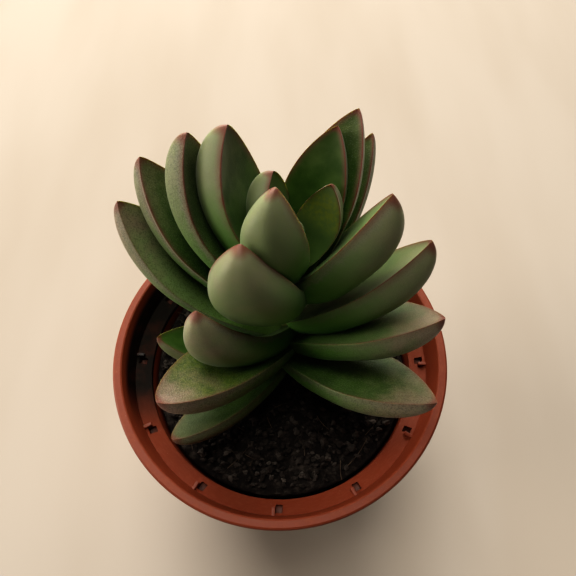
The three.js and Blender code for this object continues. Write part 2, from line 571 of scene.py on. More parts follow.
class LeafShader(Shader):
    """A leaf material's nodes, with what every layer of the skin reads.

    The leaf's marks are its length's share, its distance from the margin and its coarseness.
    """

    def __init__(self, name: str, patch_size: float, face_side: Span) -> None:
        """Starts the material.

        Args:
            name: The material's name.
            patch_size: The size of its broad patches, in millimetres.
            face_side: Where the keel's side turns into the face, from the margin.
        """
        super().__init__(name)
        self.along = self.attribute(Mark.ALONG.value)
        self.edge = self.attribute(Mark.EDGE.value)
        self.coarse = self.attribute(Mark.FRECKLE.value)
        self.patches = self.noise(patch_size, 3.0)
        self.upper = self.ramp(self.edge, *face_side)


@dataclass(frozen=True)
class LeafSkin:
    """Green skin with red and pale lines along the margin, mauve tips, yellow patches and speckles, and
    painted light on the faces of some leaves.

    A span says where a change starts and ends: along the leaf in shares of its length, across it in leaf
    widths from the margin, and over dots, a leaf's own tints and its painted light in shares of their
    strength.
    """

    face: Colour = (0.070, 0.140, 0.026)
    face_deep: Colour = (0.038, 0.090, 0.012)
    # Painted light: the next two colours lighten the face of leaves given a light share, towards the tip and
    # at the root.
    face_painted_light: Colour = (0.270, 0.370, 0.160)
    root_painted_light: Colour = (0.300, 0.480, 0.150)
    keel: Colour = (0.210, 0.255, 0.135)
    keel_root: Colour = (0.105, 0.270, 0.045)
    blush_face: Colour = (0.260, 0.190, 0.145)
    blush_keel: Colour = (0.340, 0.260, 0.205)
    gold: Colour = (0.290, 0.330, 0.060)
    rust: Colour = (0.190, 0.095, 0.070)
    red_line: Colour = (0.175, 0.052, 0.038)
    grey_band: Colour = (0.270, 0.265, 0.205)
    pale_line: Colour = (0.560, 0.540, 0.430)
    freckle: Colour = (0.016, 0.030, 0.008)
    frost: Colour = (0.400, 0.460, 0.310)
    sheen: Colour = (0.92, 0.92, 0.86)
    light_reach: tuple[float, float, float] = (1.0, 1.3, 0.4)
    light_depth: float = 1.6
    papilla: float = 0.36
    papilla_height: float = 0.045
    wave_size: float = 4.5
    wave_height: float = 0.14
    patch_size: float = 5.0
    red_width: float = 0.028
    rust_width: float = 0.110
    band_width: float = 0.150
    pale_width: float = 0.045
    red_core: float = 0.3
    band_core: float = 0.4
    pale_core: float = 0.6
    band_papilla: float = 0.8
    line_place: float = 0.006
    face_side: Span = (-0.010, 0.012)
    patch_span: Span = (0.35, 0.70)
    light_span: Span = (0.25, 0.75)
    # Painted light: where it rises along the face, how strong it gets, how much a leaf needs before its root
    # is painted lighter, and where that lighter root lies.
    light_share: Span = (0.35, 1.00)
    root_light: Span = (0.60, 0.80)
    root_span: Span = (0.50, 0.12)
    keel_span: Span = (0.25, 0.85)
    gold_start: Span = (0.42, 0.66)
    gold_end: Span = (0.95, 0.78)
    gold_mottle: Mottle = Mottle(0.9, 4.0, 0.36, 0.62, 0.35)
    blush_span: Span = (0.60, 1.00)
    blush_fray: tuple[float, ...] = (0.2, 0.8, -0.12, 0.12)
    band_fray: Mottle = Mottle(1.6, 3.0, 0.25, 0.75, -0.035, 0.035)
    band_edge: Span = (0.012, 0.0)
    band_span: Span = (0.02, 0.30)
    band_share: Span = (0.30, 0.75)
    band_dots: Span = (0.50, 0.20)
    band_dot_share: Span = (0.0, 0.45)
    freckle_dots: Mottle = Mottle(0.34, 2.0, 0.54, 0.40)
    freckle_groups: Mottle = Mottle(1.3, 3.0, 0.30, 0.52)
    freckle_span: Span = (0.05, 0.45)
    freckle_share: Span = (0.10, 0.36)
    line_fray: Mottle = Mottle(2.0, 2.0, 0.2, 0.8, -0.15, 0.15)
    rust_span: Span = (0.25, 0.95)
    rust_share: Span = (0.0, 0.85)
    red_span: Span = (0.10, 0.85)
    red_share: Span = (0.15, 0.85)
    pale_edge: Span = (0.004, -0.006)
    pale_leaves: Span = (0.80, 1.00)
    pale_span: Span = (0.80, 0.98)
    pale_share: Span = (0.85, 0.20)
    tip_span: Span = (0.945, 0.985)
    tip_share: Span = (0.0, 0.8)
    frost_dots: Span = (0.42, 0.08)
    frost_dot_share: Span = (0.0, 0.26)
    frost_mottle: Mottle = Mottle(1.1, 3.0, 0.35, 0.65, 0.35)
    frost_leaves: Span = (0.0, 0.8)
    frost_share: Span = (0.10, 1.00)
    raised_dots: Span = (0.60, 0.05)
    raised_leaves: Span = (0.0, 0.6)
    raised_share: Span = (0.25, 1.00)

    def build(self) -> bpy.types.Material:
        """Makes the material.

        Returns:
            The leaf's material, which reads the leaf's own attributes.
        """
        skin = LeafShader("leaf_skin", self.patch_size, self.face_side)
        colour = self.ground(skin)
        for add_layer in (self.add_gold, self.add_blush, self.add_band, self.add_freckles, self.add_lines):
            colour = add_layer(skin, colour)
        grain = skin.dots(self.papilla)
        colour = self.add_frost(skin, colour, grain)
        waves = skin.bump(skin.noise(self.wave_size, 1.0), self.wave_height)
        raised = skin.times(skin.ramp(grain, *self.raised_dots),
                            skin.ramp(skin.coarse, *self.raised_leaves, *self.raised_share))
        skin.set(Roughness=0.50, Specular_IOR_Level=0.34, Subsurface_Weight=0.18,
                 Subsurface_Scale=self.light_depth * MM, Sheen_Weight=0.12, Sheen_Roughness=0.40,
                 Sheen_Tint=self.sheen)
        skin.surface.inputs["Subsurface Radius"].default_value = self.light_reach
        return skin.finish(colour, skin.bump(raised, self.papilla_height, waves))

    def ground(self, skin: LeafShader) -> object:
        """Gives the plain green: deeper in patches, with painted light on the face towards the tip and, on
        the most lit leaves, at the root.

        Args:
            skin: The material's nodes.

        Returns:
            The colour.
        """
        face = skin.blend(skin.ramp(skin.patches, *self.patch_span), self.face_deep, self.face)
        # Painted light: each leaf's light share lightens its face towards the tip, and its root where the
        # share is high.
        light = skin.attribute(Mark.LIGHT.value)
        outer = skin.times(light, skin.ramp(skin.along, *self.light_span, *self.light_share))
        face = skin.blend(outer, face, self.face_painted_light)
        root = skin.times(skin.ramp(light, *self.root_light), skin.ramp(skin.along, *self.root_span))
        face = skin.blend(root, face, self.root_painted_light)
        keel = skin.blend(skin.ramp(skin.along, *self.keel_span), self.keel_root, self.keel)
        return skin.blend(skin.upper, keel, face)

    def add_gold(self, skin: LeafShader, colour: object) -> object:
        """Adds the yellow patch on the face of a sunned leaf.

        Args:
            skin: The material's nodes.
            colour: The colour so far.

        Returns:
            The colour with the patch.
        """
        share = skin.times(skin.ramp(skin.along, *self.gold_start), skin.ramp(skin.along, *self.gold_end),
                           skin.upper, skin.mottle(self.gold_mottle), skin.attribute(Mark.GOLD.value))
        return skin.blend(share, colour, self.gold)

    def add_blush(self, skin: LeafShader, colour: object) -> object:
        """Adds the mauve tint towards the tip, paler on the keel's side.

        Args:
            skin: The material's nodes.
            colour: The colour so far.

        Returns:
            The tinted colour.
        """
        tint = skin.blend(skin.upper, self.blush_keel, self.blush_face)
        frayed = skin.maths("ADD", skin.along, skin.ramp(skin.patches, *self.blush_fray))
        share = skin.times(skin.ramp(frayed, *self.blush_span), skin.attribute(Mark.BLUSH.value))
        return skin.blend(share, colour, tint)

    def add_band(self, skin: LeafShader, colour: object) -> object:
        """Adds the grey band of crowded papillae on the keel's side of the margin.

        Args:
            skin: The material's nodes.
            colour: The colour so far.

        Returns:
            The colour with the band.
        """
        frayed = skin.maths("ADD", skin.edge, skin.mottle(self.band_fray))
        share = skin.times(skin.ramp(frayed, -self.band_width, -self.band_core * self.band_width),
                           skin.ramp(skin.edge, *self.band_edge),
                           skin.ramp(skin.along, *self.band_span, *self.band_share),
                           skin.attribute(Mark.PALE.value))
        fine_dots = skin.dots(self.band_papilla * self.papilla)
        speckles = skin.ramp(fine_dots, *self.band_dots, *self.band_dot_share)
        band = skin.blend(speckles, self.grey_band, self.freckle)
        return skin.blend(share, colour, band)

    def add_freckles(self, skin: LeafShader, colour: object) -> object:
        """Adds fine dark speckles.

        Args:
            skin: The material's nodes.
            colour: The colour so far.

        Returns:
            The speckled colour.
        """
        share = skin.times(skin.mottle(self.freckle_dots), skin.mottle(self.freckle_groups),
                           skin.ramp(skin.along, *self.freckle_span, *self.freckle_share), skin.coarse)
        return skin.blend(share, colour, self.freckle)

    def add_lines(self, skin: LeafShader, colour: object) -> object:
        """Adds the rusty fringe, the thin pale line and the red line along the margin.

        Args:
            skin: The material's nodes.
            colour: The colour so far.

        Returns:
            The colour with the lines.
        """
        red_tint = skin.attribute(Mark.RED.value)
        frayed = skin.maths("ADD", skin.along, skin.mottle(self.line_fray))
        rust = skin.times(skin.ramp(skin.maths("ABSOLUTE", skin.edge), self.rust_width, 0.0),
                          skin.ramp(frayed, *self.rust_span, *self.rust_share), red_tint)
        colour = skin.blend(rust, colour, self.rust)
        pale = skin.times(skin.ramp(skin.edge, -self.pale_width, -self.pale_core * self.pale_width),
                          skin.ramp(skin.edge, *self.pale_edge),
                          skin.ramp(skin.attribute(Mark.PALE.value), *self.pale_leaves),
                          skin.ramp(skin.along, *self.pale_span, *self.pale_share))
        colour = skin.blend(pale, colour, self.pale_line)
        distance = skin.maths("ABSOLUTE", skin.maths("SUBTRACT", skin.edge, self.line_place))
        red = skin.times(skin.ramp(distance, self.red_width, self.red_core * self.red_width),
                         skin.ramp(frayed, *self.red_span, *self.red_share), red_tint)
        colour = skin.blend(red, colour, self.red_line)
        return skin.blend(skin.ramp(skin.along, *self.tip_span, *self.tip_share), colour, self.red_line)

    def add_frost(self, skin: LeafShader, colour: object, grain: object) -> object:
        """Adds the pale tops of the papillae.

        Args:
            skin: The material's nodes.
            colour: The colour so far.
            grain: The distance to the nearest papilla's middle.

        Returns:
            The frosted colour.
        """
        share = skin.times(skin.ramp(grain, *self.frost_dots, *self.frost_dot_share),
                           skin.mottle(self.frost_mottle),
                           skin.ramp(skin.coarse, *self.frost_leaves, *self.frost_share))
        return skin.blend(share, colour, self.frost)


@dataclass(frozen=True)
class StemSkin:
    """Fleshy green stem, browner in patches."""

    green: Colour = (0.200, 0.260, 0.080)
    brown: Colour = (0.150, 0.110, 0.060)
    patches: Mottle = Mottle(2.5, 4.0, 0.35, 0.70)
    wrinkle_size: float = 0.8
    wrinkle_height: float = 0.15

    def build(self) -> bpy.types.Material:
        """Makes the material.

        Returns:
            The stem's material.
        """
        skin = Shader("stem_skin")
        colour = skin.blend(skin.mottle(self.patches), self.green, self.brown)
        skin.set(Roughness=0.6, Subsurface_Weight=0.05, Subsurface_Scale=1.0 * MM)
        return skin.finish(colour, skin.bump(skin.noise(self.wrinkle_size, 4.0), self.wrinkle_height))


@dataclass(frozen=True)
class PotPlastic:
    """Thin terracotta-coloured plastic with moulding rings, scuffs and specks, and painted shade inside on
    the ledge's left side and in the pits beside the lugs.

    Depths are below the ledge's slope, reaches are out from its inner edge, and drops are below the
    rim, all in millimetres.
    """

    clay: Colour = (0.205, 0.045, 0.019)
    scuff: Colour = (0.290, 0.095, 0.050)
    dust: Colour = (0.340, 0.210, 0.140)
    # Near-black painted shade, laid on the ledge's left side and in the pits beside the lugs.
    painted_shade: Colour = (0.010, 0.005, 0.004)
    streak_size: float = 1.6
    streak_stretch: tuple[float, float, float] = (1, 1, 7)
    scuff_span: Span = (0.42, 0.75)
    scuff_share: Span = (0.0, 0.35)
    specks: Mottle = Mottle(0.55, 2.0, 0.70, 0.80, 0.0, 0.5)
    rough_span: Span = (0.3, 0.8)
    roughness: Span = (0.40, 0.60)
    ring_size: float = 0.9
    ring_stretch: tuple[float, float, float] = (0.05, 0.05, 1)
    ring_height: float = 0.04
    grain_size: float = 0.35
    grain_height: float = 0.012
    # Where the painted shade in the pits lies.
    pit_top: Span = (0.15, 0.45)
    pit_foot: Span = (1.95, 1.75)
    pit_start: Span = (1.0, 1.2)
    pit_end: Span = (3.9, 3.7)
    pit_share: float = 0.5
    # Where the painted shade on the ledge's left side lies.
    left_shade_depth: Span = (1.2, 0.8)
    left_shade_wall: Span = (0.3, -0.5)
    left_shade_drop: Span = (1.0, 4.0)
    left_shade_x: Span = (-16.0, -30.0)
    left_shade_y: Span = (-20.0, -6.0)
    left_shade_mottle: Mottle = Mottle(4.0, 3.0, 0.25, 0.55, 0.85)

    def build(self, pot: "NurseryPot") -> bpy.types.Material:
        """Makes the material.

        Args:
            pot: The pot, whose sizes say where the painted shade lies.

        Returns:
            The pot's material.
        """
        plastic = Shader("pot_plastic")
        streaks = plastic.noise(self.streak_size, 6.0, self.streak_stretch, 0.65)
        scuffed = plastic.ramp(streaks, *self.scuff_span, *self.scuff_share)
        colour = plastic.blend(scuffed, self.clay, self.scuff)
        colour = plastic.blend(plastic.mottle(self.specks), colour, self.dust)
        colour = plastic.blend(self.painted_shade_share(plastic, pot), colour, self.painted_shade)
        rough = plastic.ramp(streaks, *self.rough_span, *self.roughness)
        plastic.set(Specular_IOR_Level=0.32, Subsurface_Weight=0.06, Subsurface_Scale=0.8 * MM)
        rings = plastic.bump(plastic.noise(self.ring_size, 3.0, self.ring_stretch), self.ring_height)
        grain = plastic.bump(plastic.noise(self.grain_size, 2.0), self.grain_height, rings)
        return plastic.finish(colour, grain, rough)

    def painted_shade_share(self, plastic: Shader, pot: "NurseryPot") -> object:
        """Gives the share of painted shade: on the ledge's left side and in the pits beside the lugs.

        Args:
            plastic: The material's nodes.
            pot: The pot, whose sizes say where the painted shade lies.

        Returns:
            The share, 0 to 1.
        """
        x, y, z = plastic.axes()
        radius = plastic.maths("SQRT", plastic.maths("ADD", plastic.times(x, x), plastic.times(y, y)))
        slope = (pot.ledge_depth - pot.collar_depth) / (pot.collar_inner - pot.ledge_inner)
        level = pot.height - pot.ledge_depth
        ledge = plastic.maths("MULTIPLY_ADD", radius, slope, level - slope * pot.ledge_inner)
        depth = plastic.maths("SUBTRACT", ledge, z)
        reach = plastic.maths("SUBTRACT", radius, pot.ledge_inner)
        drop = plastic.maths("SUBTRACT", pot.height, z)
        wall = plastic.maths("SUBTRACT", radius, pot.rim_radius - pot.rim_width)
        # Painted shade in the pits beside the lugs and on the ledge's left side.
        pits = plastic.times(plastic.ramp(depth, *self.pit_top), plastic.ramp(depth, *self.pit_foot),
                             plastic.ramp(reach, *self.pit_start), plastic.ramp(reach, *self.pit_end),
                             self.pit_share)
        left_shade = plastic.times(plastic.ramp(wall, *self.left_shade_wall), plastic.ramp(drop, *self.left_shade_drop),
                              plastic.ramp(depth, *self.left_shade_depth), plastic.ramp(x, *self.left_shade_x),
                              plastic.ramp(y, *self.left_shade_y), plastic.mottle(self.left_shade_mottle))
        return plastic.maths("MAXIMUM", left_shade, pits)


@dataclass(frozen=True)
class Peat:
    """Near-black damp peat with grey-brown crumbs."""

    damp: Colour = (0.009, 0.006, 0.005)
    dry: Colour = (0.055, 0.044, 0.037)
    pale: Colour = (0.150, 0.130, 0.115)
    patch_size: float = 2.2
    patch_span: Span = (0.45, 0.72)
    grain_size: float = 0.7
    grain_height: float = 0.45
    raggedness: float = 0.7

    def build(self) -> bpy.types.Material:
        """Makes the material.

        Returns:
            The soil's material.
        """
        soil = Shader("peat")
        patches = soil.noise(self.patch_size, 6.0, roughness=self.raggedness)
        colour = soil.blend(soil.ramp(patches, *self.patch_span), self.damp, self.dry)
        colour = soil.blend(soil.attribute(TINT), colour, self.pale)
        soil.set(Roughness=0.85, Specular_IOR_Level=0.3)
        grain = soil.noise(self.grain_size, 5.0, roughness=self.raggedness)
        return soil.finish(colour, soil.bump(grain, self.grain_height))


@dataclass(frozen=True)
class PeatFibre:
    """Dry brown root fibre."""

    light: Colour = (0.120, 0.085, 0.058)
    dark: Colour = (0.035, 0.024, 0.016)
    patches: Mottle = Mottle(3.0, 2.0, 0.35, 0.65)
    grain_size: float = 0.3
    grain_height: float = 0.05

    def build(self) -> bpy.types.Material:
        """Makes the material.

        Returns:
            The fibres' material.
        """
        fibre = Shader("peat_fibre")
        colour = fibre.blend(fibre.mottle(self.patches), self.dark, self.light)
        fibre.set(Roughness=0.8)
        return fibre.finish(colour, fibre.bump(fibre.noise(self.grain_size, 2.0), self.grain_height))


@dataclass(frozen=True)
class TableTop:
    """Pale warm surface that the pot stands on."""

    base: Colour = (0.455, 0.412, 0.368)
    grain: Colour = (0.425, 0.378, 0.330)
    grain_size: float = 60.0
    grain_stretch: tuple[float, float, float] = (1, 0.25, 1)
    grain_span: Span = (0.35, 0.70)

    def build(self) -> bpy.types.Material:
        """Makes the material.

        Returns:
            The floor's material.
        """
        top = Shader("table_top")
        streaks = top.noise(self.grain_size, 3.0, self.grain_stretch)
        colour = top.blend(top.ramp(streaks, *self.grain_span), self.base, self.grain)
        top.set(Roughness=0.9, Specular_IOR_Level=0.05)
        return top.finish(colour)


# Leaves


class Mark(Enum):
    """Numbers stored on a leaf's mesh for its skin to read."""

    ALONG = "along"
    EDGE = "edge"
    BLUSH = "blush"
    GOLD = "gold"
    FRECKLE = "freckle"
    RED = "red"
    PALE = "pale"
    # Share of painted light on the face.
    LIGHT = "light"


@dataclass
class LeafBlank:
    """A straight leaf one unit long, wide and thick, from which every leaf is copied.

    It stands on its root at the origin and points along +Z, with its flat face towards -X.
    Its width lies along Y.
    """

    around: int = 32
    stations: int = 22
    widest_at: float = 0.52
    root_width: float = 0.62
    root_depth: float = 0.60
    deep_from: float = 0.32
    deep_to: float = 0.50
    width_taper: tuple[float, float] = (1.8, 0.85)
    depth_taper: tuple[float, float] = (3.0, 0.65)
    hull_power: float = 0.80
    hollow: float = 0.11
    tip_crowding: float = 0.6
    margin_crease: float = 0.55
    face_slack: float = 0.04

    @staticmethod
    def taper(x: float, powers: tuple[float, float]) -> float:
        """Falls from 1 to 0: rounded first, then running out in a point.

        Args:
            x: The share of the way to the tip.
            powers: How late the fall starts, and how sharply it ends.

        Returns:
            The share that is left.
        """
        power, sharpness = powers
        return max(0.0, 1 - x ** power) ** sharpness

    def width_share(self, u: float) -> float:
        """Gives the width at a place.

        Args:
            u: The share of the leaf's length from the root.

        Returns:
            The width there as a share of the largest.
        """
        if u < self.widest_at:
            swell = math.sin(math.pi / 2 * u / self.widest_at)
            return self.root_width + (1 - self.root_width) * swell
        return self.taper((u - self.widest_at) / (1 - self.widest_at), self.width_taper)

    def depth_share(self, u: float) -> float:
        """Gives the thickness at a place.

        Args:
            u: The share of the leaf's length from the root.

        Returns:
            The thickness there as a share of the largest.
        """
        if u < self.deep_to:
            swell = math.sin(math.pi / 2 * min(1.0, u / self.deep_from))
            return self.root_depth + (1 - self.root_depth) * swell
        return self.taper((u - self.deep_to) / (1 - self.deep_to), self.depth_taper)

    def section_point(self, angle: float) -> tuple[float, float]:
        """Gives a point of the cross-section.

        Args:
            angle: The point's angle on the circle that the section is shaped from.

        Returns:
            Depth below the margins, and place across the width, both in the blank's units.
        """
        across, lift = math.cos(angle), math.sin(angle)
        if lift >= -TINY:
            return self.hollow * (1 - across * across), across / 2
        rounded = math.copysign(abs(across) ** self.hull_power, across)
        return abs(lift) ** self.hull_power, rounded / 2

    def places(self) -> list[float]:
        """Gives the stations' places along the leaf, closer together towards the tip."""
        evenly = [i / self.stations for i in range(self.stations + 1)]
        crowd = self.tip_crowding
        return [(1 - crowd) * t + crowd * math.sin(math.pi / 2 * t) for t in evenly]

    def build(self) -> bpy.types.Object:
        """Models the blank: a shaped ring extruded from the root to the tip.

        Returns:
            The blank.
        """
        deselect_all()
        bpy.ops.mesh.primitive_circle_add(vertices=self.around, radius=0.5, fill_type="NGON")
        blank = take_new("leaf_blank")
        for i, vertex in enumerate(blank.data.vertices):
            vertex.co.x, vertex.co.y = self.section_point(math.tau * i / self.around)
        places = self.places()
        with edit_mode(blank):
            bpy.ops.mesh.select_all(action="SELECT")
            start = (self.depth_share(0), self.width_share(0), 1)
            bpy.ops.transform.resize(value=start, center_override=(0, 0, 0))
            for low, high in pairwise(places[:-1]):
                growth = (self.depth_share(high) / self.depth_share(low),
                          self.width_share(high) / self.width_share(low), 1)
                bpy.ops.mesh.extrude_region_move(TRANSFORM_OT_translate={"value": (0, 0, high - low)})
                bpy.ops.transform.resize(value=growth, center_override=(0, 0, high))
            bpy.ops.mesh.extrude_region_move(TRANSFORM_OT_translate={"value": (0, 0, 1 - places[-2])})
            bpy.ops.transform.resize(value=(0, 0, 1), center_override=(0, 0, 1))
            bpy.ops.mesh.remove_doubles(threshold=1e-5)
            bpy.ops.mesh.select_all(action="SELECT")
            bpy.ops.mesh.normals_make_consistent(inside=False)
        self.crease_margins(blank)
        apply_modifier(blank, "SUBSURF", levels=2, render_levels=2)
        self.store_marks(blank)
        return blank

    def crease_margins(self, blank: bpy.types.Object) -> None:
        """Keeps the two margins crisp when the blank is subdivided.

        Args:
            blank: The coarse blank.
        """
        crease = blank.data.attributes.new("crease_edge", "FLOAT", "EDGE")
        points = [vertex.co for vertex in blank.data.vertices]
        for edge in blank.data.edges:
            a, b = (points[i] for i in edge.vertices)
            on_margin = all(abs(p.x) < NEARLY_ZERO and abs(p.y) > NEARLY_ZERO for p in (a, b))
            lengthwise = abs(a.z - b.z) > NEARLY_ZERO
            crease.data[edge.index].value = self.margin_crease if on_margin and lengthwise else 0.0

    def store_marks(self, blank: bpy.types.Object) -> None:
        """Stores where each point lies along the leaf and how far from its margin.

        The distance is in leaf widths, positive on the face and negative on the keel.

        Args:
            blank: The smooth blank.
        """
        along = blank.data.attributes.new(Mark.ALONG.value, "FLOAT", "POINT")
        edge = blank.data.attributes.new(Mark.EDGE.value, "FLOAT", "POINT")
        for i, vertex in enumerate(blank.data.vertices):
            x, y, u = vertex.co
            half = max(TINY, self.width_share(min(1.0, max(0.0, u))) / 2)
            deep = max(TINY, self.depth_share(min(1.0, max(0.0, u))))
            across = min(1.0, abs(y) / half)
            inwards = (1 - across) * half
            on_face = x < (self.hollow * (1 - across * across) + self.face_slack) * deep
            along.data[i].value = u
            edge.data[i].value = inwards if on_face else -math.hypot(inwards, x / 2)


@dataclass
class Leaf:
    """One leaf of the plant: its place on the stem, its form, its tints and its share of painted light."""

    node: str
    height: float
    turn: float
    root_rise: float
    tip_rise: float
    length: float
    width: float
    thickness: float
    roll: float
    blush: float = 0.2
    gold: float = 0.0
    freckle: float = 0.2
    red: float = 1.0
    pale: float = 0.5
    # Share of painted light on the face, lifting faces that lie in shade.
    light: float = 0.0
    blunt: bool = False

    def build(self, blank: bpy.types.Object, plant: Matrix, name: str) -> bpy.types.Object:
        """Models the leaf from a copy of the blank: scaled, rolled, bent and set on the stem.

        Args:
            blank: The straight leaf to copy.
            plant: The plant's place and lean.
            name: The leaf's name.

        Returns:
            The leaf, in place.
        """
        leaf = take_copy(blank, name)
        scale = Matrix.Diagonal((self.thickness * MM, self.width * MM, self.length * MM, 1))
        leaf.matrix_world = turned(self.roll, Axis.Z) @ scale
        apply_place(leaf)
        bend = math.radians(self.root_rise - self.tip_rise)
        apply_modifier(leaf, "SIMPLE_DEFORM", deform_method="BEND", deform_axis=Axis.Y.value, angle=bend)
        aim = turned(self.turn, Axis.Z) @ turned(90 - self.root_rise, Axis.Y)
        leaf.matrix_world = plant @ Matrix.Translation((0, 0, self.height * MM)) @ aim
        apply_place(leaf)
        self.store_tints(leaf)
        return leaf

    def store_tints(self, leaf: bpy.types.Object) -> None:
        """Stores the leaf's own tints and its share of painted light on its mesh.

        Args:
            leaf: The leaf that is tinted.
        """
        tints = {Mark.BLUSH: self.blush, Mark.GOLD: self.gold, Mark.FRECKLE: self.freckle,
                 Mark.RED: self.red, Mark.PALE: self.pale, Mark.LIGHT: self.light}
        for mark, value in tints.items():
            store_number(leaf, mark.value, value)


# After its name, each leaf has its height on the stem, its turn round it, its rise above the level at the
# root and at the tip, its length, width, thickness and roll, and on the next line its tints and its share of
# painted light.
LEAVES = (
    Leaf("leaf_front_1", 5.5, 228, -4, 15, 40, 14, 5.2, 25,
         blush=0.3, freckle=0.7, pale=0.4, red=0.35, blunt=True),
    Leaf("leaf_front_2", 12.5, 224, 22, 6, 41, 17.5, 8.5, 10,
         blush=1.0, gold=0.3, freckle=1.0, pale=0.6, red=0.45, blunt=True),
    Leaf("leaf_front_3", 16.5, 220, -1, 84, 38, 15.5, 6.5, 42,
         blush=0.6, gold=0.2, freckle=0.2, pale=0.8, red=0.8),
    Leaf("leaf_front_4", 29, 231, 19, 94, 33, 18.5, 7.5, 32,
         blush=0.35, freckle=0.0, pale=0.3),
    Leaf("leaf_front_5", 37.5, 238, 57, 88, 27, 13.5, 9, 0,
         blush=0.2, freckle=0.0, pale=0.3),
    Leaf("leaf_right_1", 7, 320, 21, 18, 44, 20, 8, -13,
         blush=0.75, freckle=1.0, pale=0.6, light=0.08, red=0.35),
    Leaf("leaf_right_2", 13.5, 336, 36, 28, 42, 18.5, 8.5, -10,
         blush=0.8, freckle=0.5, pale=0.3, light=0.3, red=0.5),
    Leaf("leaf_right_3", 20, 346, 41, 54, 42, 16.5, 9, -11,
         blush=0.35, freckle=0.15, pale=0.3, light=0.45, red=0.7),
    Leaf("leaf_right_4", 30.5, 342, 56, 62, 36, 16, 9.5, -10,
         blush=0.3, freckle=0.1, pale=0.6, light=0.6, red=0.9),
    Leaf("leaf_left_1", 8, 199, 13, 35, 36, 13, 6, -5,
         blush=0.0, freckle=0.1, red=0.3),
    Leaf("leaf_left_2", 17, 170, 20, 57, 51, 18, 8.5, -12,
         blush=0.85, freckle=1.0, pale=0.8, light=0.9, red=0.2),
    Leaf("leaf_left_3", 24, 164, 25, 65, 49, 17, 8, -13,
         blush=0.4, freckle=0.9, pale=0.88, light=0.15, red=0.75),
    Leaf("leaf_left_4", 29.5, 165, 31, 86, 44.5, 18.5, 8, -4,
         blush=0.25, freckle=0.8, pale=0.75, light=0.25, red=0.8),
    Leaf("leaf_left_5", 35, 158, 45, 87, 37, 18, 9, 2,
         blush=0.2, freckle=0.1, pale=0.2),
    Leaf("leaf_left_6", 39, 158, 67, 86, 22, 12.5, 6.5, 0,
         blush=0.15, freckle=0.0, pale=0.3, light=1.0),
    Leaf("leaf_back_1", 25, 46, 48, 63, 43, 10.5, 7, 8,
         blush=0.2, freckle=0.7, pale=1.0),
    Leaf("leaf_back_2", 30.5, 48, 74, 53, 42, 15.5, 6.5, 10,
         blush=0.2, freckle=0.5, pale=1.0),
    Leaf("leaf_back_3", 34, 53, 76, 58, 34.5, 14, 6.5, 11,
         blush=0.15, freckle=0.0, pale=1.0),
    Leaf("leaf_back_4", 37, 14, 57, 85, 22, 10, 4.5, 45,
         blush=0.1, gold=0.75, freckle=0.0, pale=1.0, light=0.55, red=0.7),
)


@dataclass
class Plant:
    """The leaning plant: stem, closed young pair at its tip, and leaves in four ranks."""

    foot: tuple[float, float, float] = (*STEM_PLACE, PEAT_LEVEL)
    lean_back: float = 14.0
    lean_right: float = 3.0
    buried: float = 11.0
    buried_taper: float = 0.7
    top: float = 42.0
    foot_radius: float = 3.2
    top_radius: float = 1.9
    stem_steps: int = 32
    joints: tuple[float, ...] = (6.5, 12, 17, 24, 29, 35)
    joint_reach: float = 1.2
    joint_dip: float = 0.1
    joint_swell: float = 0.15
    bud_length: float = 8.0
    bud_width: float = 4.2
    bud_depth: float = 1.9
    bud_turns: tuple[int, ...] = (130, 310)
    bud_rise: Span = (84, 94)
    pointed: LeafBlank = field(default_factory=LeafBlank)
    swollen: LeafBlank = field(
        default_factory=lambda: LeafBlank(width_taper=(2.0, 0.70), depth_taper=(3.0, 0.52)))

    def frame(self) -> Matrix:
        """Gives the plant's place and lean.

        Returns:
            The matrix from the plant's own axes to the part's.
        """
        lean = turned(-self.lean_back, Axis.X) @ turned(self.lean_right, Axis.Y)
        return Matrix.Translation(Vector(self.foot) * MM) @ lean

    def build_stem(self) -> bpy.types.Object:
        """Models the stem, slightly thicker at each leaf joint.

        Returns:
            The stem, in place.
        """
        profile = [(0.0, -self.buried), (self.foot_radius * self.buried_taper, -self.buried),
                   (self.foot_radius, -self.buried / 2), (self.foot_radius, 0.0)]
        for joint in self.joints:
            radius = self.foot_radius + (self.top_radius - self.foot_radius) * joint / self.top
            profile += [(radius - self.joint_dip, joint - self.joint_reach),
                        (radius + self.joint_swell, joint),
                        (radius - self.joint_dip, joint + self.joint_reach)]
        profile += [(self.top_radius, self.top), (0.0, self.top)]
        stem = spin_profile("stem_stalk", profile, self.stem_steps)
        stem.matrix_world = self.frame()
        apply_place(stem)
        apply_modifier(stem, "SUBSURF", levels=1, render_levels=1)
        smooth(stem, 40)
        return stem

    def build_bud(self, blank: bpy.types.Object) -> bpy.types.Object:
        """Models the youngest pair of leaves, face to face at the stem's tip.

        Args:
            blank: The straight leaf to copy.

        Returns:
            The bud, in place.
        """
        halves = []
        for turn in self.bud_turns:
            half = Leaf("bud", self.top, turn, *self.bud_rise, self.bud_length, self.bud_width,
                        self.bud_depth, 0, blush=0.3)
            halves.append(half.build(blank, self.frame(), f"bud_half_{turn}"))
        bud = join_pieces(halves, "bud_pair")
        smooth(bud)
        return bud

    def dress(self, skin: bpy.types.Material, bark: bpy.types.Material) -> None:
        """Models and dresses the whole plant.

        Args:
            skin: The leaves' material.
            bark: The stem's material.
        """
        pointed, swollen = self.pointed.build(), self.swollen.build()
        settle(self.build_stem(), Slot.STEM, bark, "stem")
        settle(self.build_bud(pointed), Slot.BUD, skin, "bud")
        for leaf in LEAVES:
            piece = leaf.build(swollen if leaf.blunt else pointed, self.frame(), leaf.node + "_blade")
            smooth(piece)
            settle(piece, Slot.LEAF, skin, leaf.node)
        remove_piece(pointed)
        remove_piece(swollen)


# Pot


